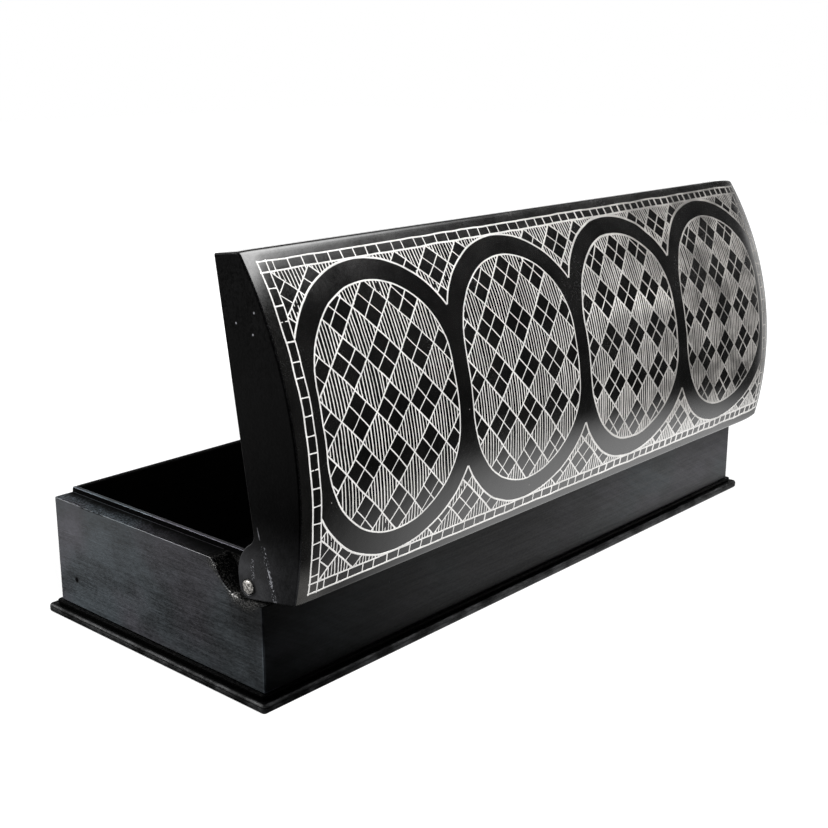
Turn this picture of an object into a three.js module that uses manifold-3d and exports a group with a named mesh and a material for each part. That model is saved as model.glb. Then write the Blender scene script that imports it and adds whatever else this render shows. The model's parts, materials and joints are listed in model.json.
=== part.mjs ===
// A long metal bangle box: a plated tray on a plinth, with a domed lid that swings on two
// short pins, one at each end, and rests wide open on the top of the back wall.
//
// Millimetres, +Z up. X runs along the box, -Y is the front, where the lid opens, and +Y the
// back, where it hinges. The origin is the middle of the underside. The lid is drawn shut
// about its pin axis and then turned open as one group.

import * as THREE from 'three';
import { mergeVertices } from 'three/addons/utils/BufferGeometryUtils.js';
import Module from 'manifold-3d';

const wasm = await Module();
wasm.setup();

// Tray
const trayLength = 300;
const trayDepth = 115;
const plinthThickness = 3.4;
const plinthOverhang = 3.8;
const plinthEdgeRadius = 1.1;
const floorThickness = 1.6;
const floorOverhang = 1.5;
const floorEdgeRadius = 0.5;
const wallHeight = 41;
const footCornerRadius = 1.6;
const wallCornerRadius = 0.8;
const endPlateThickness = 8;
const innerWallThickness = 1.6;
const frontWallThickness = 3;
const backWallThickness = 3.5;
const lipHeight = 2;
const lipEdgeRadius = 0.7;

// Hinge
const pinRadius = 2.4;
const pinInset = 7.7;
const pinDrop = 6;
const pinProud = 0.5;
const pinCrown = 0.4;
const knuckleRadius = 4.2;
const earSweep = 13.1;
const earFillet = 4;
const earFlat = 2.5;
const lugRadius = 5.2;
const lugSetback = 1;
const openAngle = 81.1;

// Lid
const lidEndInset = 1;
const lidFrontInset = 0.2;
const frontEdgeHeight = 11.8;
const backEdgeHeight = 15.5;
const domeRadius = 134;
const frontEdgeRadius = 2.2;
const backEdgeRadius = 1.4;
const shellThickness = 2.6;
const skirtThickness = 2.4;
const cheekRim = 0.8;
const cheekEdgeRadius = 0.6;

// Fits
const seatGap = 0.3;
const sideGap = 0.3;
const boreGap = 0.3;
const sweepGap = 0.4;

// Facets in a dome arc, in a small rounding and round a pin
const domeSteps = 26;
const roundSteps = 5;
const sweepSteps = 10;
const bevelSteps = 3;
const crownSteps = 3;
const pinSides = 24;

// How far a cut reaches past what it cuts, and how close two points are one
const cutMargin = 1;
const weldDistance = 1e-4;

// Places worked out from the sizes above
const endX = trayLength / 2;
const frontY = -trayDepth / 2;
const backY = trayDepth / 2;
const floorZ = plinthThickness + floorThickness;
const ledgeZ = floorZ + wallHeight;
const rimZ = ledgeZ + lipHeight;
const innerX = endX - endPlateThickness;
const roomX = innerX - innerWallThickness;
const pinY = backY - pinInset;
const pinZ = ledgeZ - pinDrop;
const lidEndX = endX - lidEndInset;
const cheekInnerX = innerX + sideGap;
const open = THREE.MathUtils.degToRad(openAngle);

// Lid places, measured from the pin axis with the lid shut
const seatZ = ledgeZ + seatGap - pinZ;
const lidFront = frontY + lidFrontInset - pinY;
const lidBack = knuckleRadius;
const dome = domeCentre();
const aroundPin = knuckleRadius + cutMargin;

const blackMetal = { color: 0x2c2d2e, roughness: 0.38, metalness: 0.75 };
const lidMetal = { color: 0x1e1f20, roughness: 0.3, metalness: 0.75 };
const pinMetal = { color: 0xb9b7ae, roughness: 0.45, metalness: 0.9 };

// The point at a distance and an angle from a centre, in the YZ plane.
function polar(centre, radius, angle) {
  return new THREE.Vector2(centre.y + radius * Math.cos(angle), centre.z + radius * Math.sin(angle));
}

// Points along an arc in the YZ plane, from one angle to another.
function arc(centre, radius, from, to, steps) {
  const points = [];
  for (let i = 0; i <= steps; i += 1) {
    points.push(polar(centre, radius, from + ((to - from) * i) / steps));
  }
  return points;
}

// Centre of the dome's arc, which passes over the front and back edges of the lid.
function domeCentre() {
  const front = new THREE.Vector2(lidFront, seatZ + frontEdgeHeight);
  const back = new THREE.Vector2(lidBack, seatZ + backEdgeHeight);
  const half = front.distanceTo(back) / 2;
  const middle = front.clone().lerp(back, 0.5);
  const along = back.clone().sub(front).normalize();
  const drop = Math.sqrt(domeRadius ** 2 - half ** 2);
  return { y: middle.x + along.y * drop, z: middle.y - along.x * drop };
}

// Height of an arc about the dome's centre, at a distance along Y from the pin axis.
function domeTop(radius, y) {
  return dome.z + Math.sqrt(radius ** 2 - (y - dome.y) ** 2);
}

// The lid's outer line over its top, from the front face to the back face, with both edges
// rounded. A positive grow moves the line out.
function domeLine(grow) {
  const radius = domeRadius + grow;
  const front = { y: lidFront - grow + frontEdgeRadius };
  const back = { y: lidBack + grow - backEdgeRadius };
  front.z = domeTop(radius - frontEdgeRadius, front.y);
  back.z = domeTop(radius - backEdgeRadius, back.y);
  const frontAngle = Math.atan2(front.z - dome.z, front.y - dome.y);
  const backAngle = Math.atan2(back.z - dome.z, back.y - dome.y);
  return [
    ...arc(front, frontEdgeRadius, Math.PI, frontAngle, roundSteps),
    ...arc(dome, radius, frontAngle, backAngle, domeSteps).slice(1, -1),
    ...arc(back, backEdgeRadius, backAngle, 0, roundSteps),
  ];
}

// A closed outline in the YZ plane, drawn out along X.
function alongX(points, fromX, toX) {
  const geometry = new THREE.ExtrudeGeometry(new THREE.Shape(points), {
    depth: toX - fromX,
    bevelEnabled: false,
  });
  geometry.translate(0, 0, fromX);
  return toSolid(turnToX(geometry));
}

// Turns a geometry drawn in XY and raised along Z so that it lies in YZ and runs along X.
function turnToX(geometry) {
  const turn = new THREE.Matrix4().makeBasis(
    new THREE.Vector3(0, 1, 0),
    new THREE.Vector3(0, 0, 1),
    new THREE.Vector3(1, 0, 0),
  );
  return geometry.applyMatrix4(turn);
}

// A rectangle on the XY plane with all its corners rounded.
function roundedRectangle(length, depth, radius) {
  const x = length / 2;
  const y = depth / 2;
  const shape = new THREE.Shape();
  shape.moveTo(-x + radius, -y);
  shape.lineTo(x - radius, -y);
  shape.absarc(x - radius, -y + radius, radius, -Math.PI / 2, 0);
  shape.lineTo(x, y - radius);
  shape.absarc(x - radius, y - radius, radius, 0, Math.PI / 2);
  shape.lineTo(-x + radius, y);
  shape.absarc(-x + radius, y - radius, radius, Math.PI / 2, Math.PI);
  shape.lineTo(-x, -y + radius);
  shape.absarc(-x + radius, -y + radius, radius, Math.PI, 1.5 * Math.PI);
  return shape;
}

// A flat plate with rounded corners and rounded edges, its underside at a height.
function roundedPlate(length, depth, thickness, corner, edge, bottomZ) {
  const geometry = new THREE.ExtrudeGeometry(roundedRectangle(length, depth, corner), {
    depth: thickness - 2 * edge,
    bevelEnabled: true,
    bevelThickness: edge,
    bevelSize: edge,
    bevelOffset: -edge,
    bevelSegments: bevelSteps,
    curveSegments: roundSteps,
  });
  geometry.translate(0, 0, bottomZ + edge);
  return toSolid(geometry);
}

// A block between two corners, used to cut with.
function block(low, high) {
  const size = high.map((value, i) => value - low[i]);
  const geometry = new THREE.BoxGeometry(...size);
  geometry.translate(...low.map((value, i) => value + size[i] / 2));
  return toSolid(geometry);
}

// A round bar along X about a centre in the YZ plane.
function bar(centre, radius, fromX, toX) {
  return alongX(arc(centre, radius, 0, 2 * Math.PI, pinSides).slice(0, -1), fromX, toX);
}

// A closed geometry as a solid that can be cut and joined.
function toSolid(geometry) {
  geometry.deleteAttribute('normal');
  geometry.deleteAttribute('uv');
  const merged = mergeVertices(geometry, weldDistance);
  return new wasm.Manifold(new wasm.Mesh({
    numProp: 3,
    vertProperties: Float32Array.from(merged.attributes.position.array),
    triVerts: Uint32Array.from(merged.index.array),
  }));
}

// A solid as a named mesh with its own material.
function toMesh(name, solid, finish) {
  const { vertProperties, triVerts } = solid.getMesh();
  const geometry = new THREE.BufferGeometry();
  geometry.setAttribute('position', new THREE.BufferAttribute(vertProperties, 3));
  geometry.setIndex(new THREE.BufferAttribute(triVerts, 1));
  geometry.computeVertexNormals();
  const mesh = new THREE.Mesh(geometry, new THREE.MeshStandardMaterial(finish));
  mesh.name = name;
  return mesh;
}

// Solid mirrored to the other end of the box.
function otherEnd(solid) {
  return solid.mirror([1, 0, 0]);
}

function plinthPlate() {
  const length = trayLength + 2 * plinthOverhang;
  const depth = trayDepth + 2 * plinthOverhang;
  return roundedPlate(length, depth, plinthThickness, footCornerRadius, plinthEdgeRadius, 0);
}

function floorPlate() {
  const length = trayLength + 2 * floorOverhang;
  const depth = trayDepth + 2 * floorOverhang;
  return roundedPlate(
    length,
    depth,
    floorThickness,
    footCornerRadius,
    floorEdgeRadius,
    plinthThickness,
  );
}

// The front wall stands between the inner walls, and its top edges are rounded over.
function frontWall() {
  const insideY = frontY + frontWallThickness;
  const outer = { y: frontY + lipEdgeRadius, z: rimZ - lipEdgeRadius };
  const inner = { y: insideY - lipEdgeRadius, z: rimZ - lipEdgeRadius };
  const section = [
    new THREE.Vector2(frontY, floorZ),
    new THREE.Vector2(insideY, floorZ),
    ...arc(inner, lipEdgeRadius, 0, Math.PI / 2, roundSteps),
    ...arc(outer, lipEdgeRadius, Math.PI / 2, Math.PI, roundSteps),
  ];
  return alongX(section, -roomX, roomX);
}

// Height of the back of the open lid over a place on the back wall, less the gap at rest.
function stopHeight(y) {
  const lean = Math.PI / 2 - open;
  const rise = (y - pinY) * Math.tan(lean);
  return pinZ + rise - knuckleRadius / Math.cos(lean) - seatGap;
}

// The back wall is lower, and its top slopes as the back of the lid does when it rests there.
function backWall() {
  const insideY = backY - backWallThickness;
  const section = [
    new THREE.Vector2(insideY, floorZ),
    new THREE.Vector2(backY, floorZ),
    new THREE.Vector2(backY, stopHeight(backY)),
    new THREE.Vector2(insideY, stopHeight(insideY)),
  ];
  return alongX(section, -roomX, roomX);
}

// Centre of the sweep of the ear's lower edge, from the pin axis with the lid shut.
const sweep = { y: -earFlat, z: earSweep - knuckleRadius };

// The ear's lower edge: a hollow fillet that leaves the seat at a height, then the sweep down
// to under the pin. A positive grow moves the line out.
function earLine(height, grow) {
  const fillet = earFillet - grow;
  const reach = earSweep + grow;
  const drop = sweep.z - height + fillet;
  const across = Math.sqrt((reach + fillet) ** 2 - drop ** 2);
  const centre = { y: sweep.y - across, z: height - fillet };
  const turn = Math.atan2(drop, across);
  return [
    ...arc(centre, fillet, Math.PI / 2, turn, roundSteps),
    ...arc(sweep, reach, Math.PI + turn, 1.5 * Math.PI, sweepSteps).slice(1),
  ];
}

// The room for the lid's ear at the back of an end plate, open at its top and its back.
function earRecess() {
  const line = earLine(ledgeZ - pinZ, sweepGap);
  const first = line[0];
  const last = line[line.length - 1];
  const outline = [
    new THREE.Vector2(pinInset + sweepGap, first.y + cutMargin),
    new THREE.Vector2(first.x, first.y + cutMargin),
    ...line,
    new THREE.Vector2(pinInset + sweepGap, last.y),
  ];
  const room = alongX(outline, innerX - sideGap, endX + sideGap);
  return room.translate([0, pinY, pinZ]);
}

// An end plate carries the ledge that the lid's end sits on. Its two outer corners are soft.
function endPlate() {
  const outline = roundedRectangle(trayLength, trayDepth, wallCornerRadius);
  const whole = new THREE.ExtrudeGeometry(outline, {
    depth: wallHeight,
    bevelEnabled: false,
    curveSegments: roundSteps,
  });
  whole.translate(0, 0, floorZ);
  const end = block([innerX, frontY, floorZ], [endX, backY, ledgeZ]);
  return toSolid(whole).intersect(end).subtract(earRecess());
}

// An inner wall stands above the ledge as a lip, and ends behind in the lug for the pin.
function innerWall() {
  const corner = { y: pinY - lugSetback, z: rimZ - lugRadius };
  const lugY = corner.y + lugRadius;
  const front = { y: frontY + lipEdgeRadius, z: rimZ - lipEdgeRadius };
  const outline = [
    new THREE.Vector2(frontY, floorZ),
    new THREE.Vector2(backY, floorZ),
    new THREE.Vector2(backY, stopHeight(backY)),
    new THREE.Vector2(lugY, stopHeight(lugY)),
    ...arc(corner, lugRadius, 0, Math.PI / 2, roundSteps),
    ...arc(front, lipEdgeRadius, Math.PI / 2, Math.PI, roundSteps),
  ];
  const bore = bar({ y: pinY, z: pinZ }, pinRadius + boreGap, roomX - sideGap, innerX + sideGap);
  return alongX(outline, roomX, innerX).subtract(bore);
}

// A hinge pin, turned about its axis, with its outer end set over into a low crown.
function hingePin() {
  const length = lidEndX + pinProud - roomX;
  const crownRadius = (pinRadius ** 2 + pinCrown ** 2) / (2 * pinCrown);
  const profile = [new THREE.Vector2(0, 0), new THREE.Vector2(pinRadius, 0)];
  for (let i = 0; i <= crownSteps; i += 1) {
    const radius = pinRadius * (1 - i / crownSteps);
    const height = Math.sqrt(crownRadius ** 2 - radius ** 2);
    profile.push(new THREE.Vector2(radius, length - crownRadius + height));
  }
  const geometry = new THREE.LatheGeometry(profile, pinSides);
  geometry.rotateZ(-Math.PI / 2);
  geometry.translate(roomX, pinY, pinZ);
  return toSolid(geometry);
}

// The bent sheet of the lid in section: the dome, a front flange and a back skirt that is
// rounded about the pin axis. The gap widens it on all sides, to cut its room in a cheek.
function sheetSection(gap) {
  const inside = domeRadius - shellThickness - gap;
  const frontIn = lidFront + shellThickness + gap;
  const backIn = lidBack - skirtThickness - gap;
  const toAngle = (y) => Math.atan2(domeTop(inside, y) - dome.z, y - dome.y);
  const tip = Math.acos(backIn / (knuckleRadius + gap));
  return [
    new THREE.Vector2(frontIn, seatZ - gap),
    ...arc(dome, inside, toAngle(frontIn), toAngle(backIn), domeSteps),
    ...arc({ y: 0, z: 0 }, knuckleRadius + gap, -tip, 0, roundSteps),
    ...domeLine(gap).reverse(),
    new THREE.Vector2(lidFront - gap, seatZ - gap),
  ];
}

// The lid's shell meets the rims of both cheeks face to face. It clears the top of the front
// wall, and behind it is notched at both ends for the lugs and the ears.
function lidShell() {
  const shellX = lidEndX - cheekRim;
  const sheet = alongX(sheetSection(0), -shellX, shellX);
  const rim = rimZ + seatGap - pinZ;
  const overWall = block(
    [-cheekInnerX, lidFront - cutMargin, 0],
    [cheekInnerX, lidFront + shellThickness + cutMargin, rim],
  );
  const notch = block(
    [roomX - sideGap, -cutMargin, -aroundPin],
    [shellX + cutMargin, aroundPin, rim + seatGap],
  );
  return sheet.subtract(overWall).subtract(notch).subtract(otherEnd(notch));
}

// Outline of a cheek with its ear: along the seat, round the ear and over the dome.
function cheekOutline() {
  return [
    new THREE.Vector2(lidFront, seatZ),
    ...earLine(seatZ, 0),
    ...arc({ y: 0, z: 0 }, knuckleRadius, -Math.PI / 2, 0, roundSteps),
    ...domeLine(0).reverse(),
  ];
}

// A cheek closes the end of the lid. Its rim lies flush with the dome, and behind the rim it
// is stepped in to carry the shell.
function cheek() {
  const plate = new THREE.ExtrudeGeometry(new THREE.Shape(cheekOutline()), {
    depth: lidEndX - cheekInnerX - 2 * cheekEdgeRadius,
    bevelEnabled: true,
    bevelThickness: cheekEdgeRadius,
    bevelSize: cheekEdgeRadius,
    bevelOffset: -cheekEdgeRadius,
    bevelSegments: bevelSteps,
  });
  plate.translate(0, 0, cheekInnerX + cheekEdgeRadius);
  const rimX = lidEndX - cheekRim;
  const room = alongX(sheetSection(sideGap), cheekInnerX - cutMargin, rimX);
  const earTop = rimZ + seatGap - pinZ;
  const ear = block([0, -aroundPin, -aroundPin], [endX, aroundPin, earTop]);
  const bore = bar({ y: 0, z: 0 }, pinRadius + boreGap, cheekInnerX - cutMargin, endX);
  return toSolid(turnToX(plate)).subtract(room.subtract(ear)).subtract(bore);
}

function buildTray() {
  const tray = new THREE.Group();
  const plate = endPlate();
  const inner = innerWall();
  const pin = hingePin();
  tray.add(toMesh('plinth_plate', plinthPlate(), blackMetal));
  tray.add(toMesh('floor_plate', floorPlate(), blackMetal));
  tray.add(toMesh('front_wall', frontWall(), blackMetal));
  tray.add(toMesh('back_wall', backWall(), blackMetal));
  tray.add(toMesh('right_end_plate', plate, blackMetal));
  tray.add(toMesh('left_end_plate', otherEnd(plate), blackMetal));
  tray.add(toMesh('right_inner_wall', inner, blackMetal));
  tray.add(toMesh('left_inner_wall', otherEnd(inner), blackMetal));
  tray.add(toMesh('right_hinge_pin', pin, pinMetal));
  tray.add(toMesh('left_hinge_pin', otherEnd(pin), pinMetal));
  return tray;
}

function buildLid() {
  const lid = new THREE.Group();
  const end = cheek();
  lid.add(toMesh('lid_shell', lidShell(), lidMetal));
  lid.add(toMesh('right_cheek', end, lidMetal));
  lid.add(toMesh('left_cheek', otherEnd(end), lidMetal));
  lid.position.set(0, pinY, pinZ);
  lid.rotation.x = -open;
  return lid;
}

const bangleBox = new THREE.Group();
bangleBox.add(buildTray());
bangleBox.add(buildLid());

export default bangleBox;
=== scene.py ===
# %% [markdown]
# # A bangle box in blackened metal, inlaid with silver wire
#
# The box is a long tray on a stepped plinth, with a domed lid that swings on two short pins.
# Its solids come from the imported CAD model, which fixes every size and every moving part.
# This notebook dresses them: it rounds and wears their edges, bends a smooth sheet for the
# dome, lays the silver drawing over it wire by wire, and lights the box on a strip of paper.
#
# Geometry Nodes make the bent sheet and the wires, because both follow a rule. The heavy
# plates are copied from the CAD, because their shape is already right and only needs edges.

# %% Load the fixed frame
import json
import math
from types import SimpleNamespace

import bmesh
import bpy
import numpy as np
from mathutils import Matrix, Vector, noise


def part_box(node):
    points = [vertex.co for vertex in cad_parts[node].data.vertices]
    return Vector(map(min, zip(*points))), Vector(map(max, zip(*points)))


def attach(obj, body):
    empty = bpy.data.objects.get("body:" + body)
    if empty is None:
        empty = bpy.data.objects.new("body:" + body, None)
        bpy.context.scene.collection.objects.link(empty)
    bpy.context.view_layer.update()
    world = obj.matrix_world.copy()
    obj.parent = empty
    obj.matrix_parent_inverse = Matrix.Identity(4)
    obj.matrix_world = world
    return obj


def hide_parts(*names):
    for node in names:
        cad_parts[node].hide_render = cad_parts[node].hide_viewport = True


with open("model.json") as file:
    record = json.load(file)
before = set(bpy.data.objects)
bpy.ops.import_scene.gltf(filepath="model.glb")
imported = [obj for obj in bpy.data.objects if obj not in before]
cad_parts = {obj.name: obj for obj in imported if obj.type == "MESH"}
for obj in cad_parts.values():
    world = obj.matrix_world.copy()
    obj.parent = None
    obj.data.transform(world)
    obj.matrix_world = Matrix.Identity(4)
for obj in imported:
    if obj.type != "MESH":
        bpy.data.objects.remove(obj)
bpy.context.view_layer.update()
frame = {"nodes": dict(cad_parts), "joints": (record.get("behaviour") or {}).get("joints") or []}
MM = 0.001
SEED = 11


def in_mm(corners, digits=1):
    """Corners in millimetres, rounded for a print."""
    return [[round(v / MM, digits) for v in corner] for corner in corners]


# %% [markdown]
# Sizes that the pieces share are read from the frame where it has them. The hinge gives the
# pin axis and the angle that the lid stands open at. The section of the lid is drawn shut,
# measured in millimetres from the pin axis, as a smith would lay it out on the bench.

# %% Shared sizes
hinge = frame["joints"][0]
PIN_AXIS = Vector(hinge["pos_m"])
PIN_Y, PIN_Z = PIN_AXIS.y / MM, PIN_AXIS.z / MM
OPEN_ANGLE = math.radians(hinge["range_deg"][1])
tray_low, tray_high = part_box("right_end_plate")
END_X, WALL_Y, LEDGE_Z = (v / MM for v in tray_high)
FLOOR_Z = tray_low.z / MM
INNER_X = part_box("right_inner_wall")[1].x / MM
ROOM_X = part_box("right_inner_wall")[0].x / MM
LID_END_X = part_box("right_cheek")[1].x / MM
SEAT_GAP, LIP_HEIGHT = 0.3, 2.0
SEAT_Z = LEDGE_Z + SEAT_GAP - PIN_Z
KNUCKLE, LID_INSET = 4.2, 0.2
LID_FRONT, LID_BACK = -WALL_Y + LID_INSET - PIN_Y, KNUCKLE
DOME_RADIUS = 134.0
FRONT_HEIGHT, BACK_HEIGHT = 11.8, 15.5


def centre_of_arc(first, last, radius):
    """Centre of the arc that rises over two points of the YZ plane."""
    first, last = np.array(first), np.array(last)
    along = (last - first) / np.linalg.norm(last - first)
    drop = math.sqrt(radius**2 - np.linalg.norm(last - first) ** 2 / 4)
    return (first + last) / 2 + drop * np.array([along[1], -along[0]])


DOME_CENTRE = centre_of_arc(
    (LID_FRONT, SEAT_Z + FRONT_HEIGHT), (LID_BACK, SEAT_Z + BACK_HEIGHT), DOME_RADIUS
)
BACK_ANGLE = math.acos((LID_BACK - DOME_CENTRE[0]) / DOME_RADIUS)
print("tray corner, mm:", [round(v, 1) for v in (END_X, WALL_Y, LEDGE_Z)])
print("dome centre from the pin, mm:", DOME_CENTRE.round(2))

# %% [markdown]
# The camera stands to the right of the box's back, a little above it, with a short telephoto
# lens. Its place was found by matching the corners of the plinth, the ledge and the lid.

# %% Camera
FRAME_PIXELS = 828
FOCAL_PIXELS = 1316.9
CAMERA_PLACE = (0.40533, 0.35223, 0.20794)
CAMERA_AZIMUTH = math.radians(131.96)
CAMERA_DROP = math.radians(15.66)

lens = bpy.data.cameras.new("camera")
lens.sensor_width = 36
lens.lens = FOCAL_PIXELS / FRAME_PIXELS * lens.sensor_width
lens.clip_start = 0.01
camera = bpy.data.objects.new("camera", lens)
camera.location = CAMERA_PLACE
camera.rotation_euler = (math.pi / 2 - CAMERA_DROP, 0, CAMERA_AZIMUTH)
bpy.context.scene.collection.objects.link(camera)
bpy.context.scene.camera = camera
bpy.context.scene.view_settings.view_transform = "Standard"
print("lens, mm:", round(lens.lens, 2))

# %% [markdown]
# Node trees read best as sums. `Signal` wraps a socket and overloads the arithmetic signs, so
# that an expression adds its Math nodes by itself, and it works in materials and in Geometry
# Nodes alike. Every other node comes from `Tree.node`, which sets a node's settings first and
# its inputs after.


# %% Sockets that can be added and multiplied
class Signal:
    """A node's output, with arithmetic that adds Math nodes."""

    def __init__(self, tree, socket):
        self.tree = tree
        self.socket = socket

    def math(self, operation, *others):
        settings = {"operation": operation}
        return self.tree.node("ShaderNodeMath", settings, self, *others)["Value"]

    def __add__(self, other):
        return self.math("ADD", other)

    def __sub__(self, other):
        return self.math("SUBTRACT", other)

    def __rsub__(self, other):
        return self.tree.node("ShaderNodeMath", {"operation": "SUBTRACT"}, other, self)["Value"]

    def __mul__(self, other):
        return self.math("MULTIPLY", other)

    def __truediv__(self, other):
        return self.math("DIVIDE", other)

    def above(self, other):
        return self.math("GREATER_THAN", other)

    def below(self, other):
        return self.math("LESS_THAN", other)

    def absolute(self):
        return self.math("ABSOLUTE")

    def larger(self, *others):
        """The largest of this value and the others."""
        largest = self
        for other in others:
            largest = largest.math("MAXIMUM", other)
        return largest

    def fade(self, start, end):
        """0 at start, 1 at end, and smooth between them."""
        settings = {"interpolation_type": "SMOOTHSTEP"}
        low, high = (start, end) if start < end else (end, start)
        ends = (0.0, 1.0) if start < end else (1.0, 0.0)
        made = self.tree.node("ShaderNodeMapRange", settings, self, low, high, *ends)
        return made["Result"]

    __radd__ = __add__
    __rmul__ = __mul__


# %% Nodes from one method
class Tree:
    """A node tree, with one method that adds any node."""

    def __init__(self, nodes_owner):
        self.nodes = nodes_owner.nodes
        self.links = nodes_owner.links

    def node(self, kind, settings=None, *values, **named):
        made = self.nodes.new(kind)
        for key, value in (settings or {}).items():
            setattr(made, key, value)
        inputs = [s for s in made.inputs if s.enabled and not s.is_unavailable]
        for socket, value in zip(inputs, values):
            self.feed(socket, value)
        for key, value in named.items():
            label = key.replace("_", " ")
            socket = next(s for s in made.inputs if s.name.lower() == label and s.enabled)
            self.feed(socket, value)
        return Outputs(self, made)

    def vector(self, operation, *values, output="Vector", **named):
        settings = {"operation": operation}
        return self.node("ShaderNodeVectorMath", settings, *values, **named)[output]

    def feed(self, socket, value):
        if isinstance(value, Signal):
            self.links.new(value.socket, socket)
        elif isinstance(value, Outputs):
            self.links.new(value.first().socket, socket)
        elif value is not None:
            socket.default_value = value


class Outputs:
    """The outputs of one node, by name."""

    def __init__(self, tree, node):
        self.tree = tree
        self.raw = node

    def __getitem__(self, name):
        live = [s for s in self.raw.outputs if s.enabled and s.name == name]
        return Signal(self.tree, live[0])

    def first(self):
        return Signal(self.tree, next(s for s in self.raw.outputs if s.enabled))


# %% [markdown]
# A finish starts as an empty material. `Finish` adds what all of them use: places in
# millimetres, noise at a real scale, a mix of two colours and bumps of a real height. Object
# coordinates are used throughout, so that a pattern keeps its size and stays on its piece.

# %% A finish
EVEN = (1, 1, 1)


class Finish(Tree):
    """A material under construction."""

    def __init__(self, name):
        self.material = bpy.data.materials.new(name)
        self.material.use_nodes = True
        super().__init__(self.material.node_tree)
        self.nodes.clear()
        self.place = self.node("ShaderNodeTexCoord")["Object"]
        split = self.node("ShaderNodeSeparateXYZ", None, self.place)
        self.x, self.y, self.z = (split[axis] / MM for axis in "XYZ")

    def grain(self, size, stretch=EVEN, detail=3.0, turn=0.0):
        """Noise with features of a size in millimetres, drawn out along axes that lean in XZ."""
        point = {"vector_type": "POINT"}
        scale = [1 / (size * MM * share) for share in stretch]
        leaning = self.node("ShaderNodeMapping", point, vector=self.place, rotation=(0, turn, 0))
        turned = self.node("ShaderNodeMapping", point, vector=leaning, scale=scale)
        shape = {"scale": 1.0, "detail": detail, "roughness": 0.55}
        return self.node("ShaderNodeTexNoise", None, vector=turned, **shape)["Fac"]

    def specks(self, pitch, dot, share):
        """Scattered dots of a radius in millimetres, one in a share of the cells of a pitch."""
        scale = 1 / (pitch * MM)
        cells = self.node("ShaderNodeTexVoronoi", None, vector=self.place, scale=scale)
        tint = self.node("ShaderNodeSeparateColor", None, cells["Color"])
        return cells["Distance"].fade(dot / pitch, 0.5 * dot / pitch) * tint["Red"].below(share)

    def near(self, centre, reach):
        """1 at a place in millimetres, fading to 0 at a reach from it."""
        offset = self.vector("SUBTRACT", self.place, [v * MM for v in centre])
        return (self.vector("LENGTH", offset, output="Value") / MM).fade(reach, 0.3 * reach)

    def scratch(self, start, end, width):
        """1 along a straight scratch between two places in millimetres, 0 off it."""
        start, run = Vector(start) * MM, (Vector(end) - Vector(start)) * MM
        offset = self.vector("SUBTRACT", self.place, start)
        along = self.vector("DOT_PRODUCT", offset, run / run.length_squared, output="Value")
        along = along.larger(0.0).math("MINIMUM", 1.0)
        nearest = self.vector("SCALE", run, scale=along)
        gap = self.vector("DISTANCE", offset, nearest, output="Value")
        return (gap / MM).fade(width / 2, width / 5)

    def wear(self):
        """1 on the rounded edges of a worn plate."""
        return self.node("ShaderNodeAttribute", {"attribute_name": "wear"})["Fac"]

    def mix(self, factor, first, second):
        """A colour between two colours."""
        made = self.node("ShaderNodeMix", {"data_type": "RGBA"})
        sockets = [s for s in made.raw.inputs if s.enabled]
        for socket, value in zip(sockets, (factor, first, second)):
            self.feed(socket, (*value, 1.0) if isinstance(value, tuple) else value)
        return Signal(self, next(s for s in made.raw.outputs if s.enabled))

    def colour(self, tone, red, green, blue):
        """A grey tone with a cast of colour."""
        return self.vector("SCALE", (red, green, blue), scale=tone)

    def bump(self, height, depth):
        """A normal for a height from 0 to 1, which stands for a depth in millimetres."""
        size = {"strength": 1.0, "distance": depth * MM}
        return self.node("ShaderNodeBump", None, height=height, **size)["Normal"]

    def close(self, **sockets):
        """Ends the finish in one Principled shader and returns the material."""
        shader = self.node("ShaderNodeBsdfPrincipled", None, **sockets)
        self.node("ShaderNodeOutputMaterial", None, surface=shader)
        print(self.material.name, "nodes:", len(self.nodes))
        return self.material


# %% [markdown]
# The box was photographed on a strip of white paper in a dim room. A shiny black sheet shows
# what stands round it, so the paper, the white backdrop behind the camera's view and the dim
# sides all matter. Light Path keeps them apart: the camera sees plain white, a reflection
# sees the strip and the room, and the diffuse light is a plain fill. A plane is enough for
# the paper, and its pools of lamp light are ovals of emission that only reflections see.

# %% Paper
VIEW_AWAY = (-0.743, -0.669)
PAPER_CALM, PAPER_REACH = 260.0, 420.0
SWEEP = (180, 360)
BACKDROP_SPREAD = (0.40, 0.58)
BACKDROP_TONE = 1.2
POOLS = (
    {"centre": (-80, 70), "turn": -20, "half_sizes": (190, 130), "tone": 0.95},
    {"centre": (240, -190), "turn": 40, "half_sizes": (150, 110), "tone": 0.8},
)
POOL_EDGE = (1.25, 0.5)
PAPER_GREY, PAPER_DIM = 0.5, 0.02
NEAR_LIFT, FAR_LIFT = 0.6, 0.4


def light_pool(paper, centre, turn, half_sizes, tone):
    """A soft oval of lamp light on the paper."""
    cos, sin = math.cos(math.radians(turn)), math.sin(math.radians(turn))
    dx, dy = paper.x - centre[0], paper.y - centre[1]
    along = (dx * cos + dy * sin) / half_sizes[0]
    across = (dy * cos - dx * sin) / half_sizes[1]
    return (along * along + across * across).math("SQRT").fade(*POOL_EDGE) * tone


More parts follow.
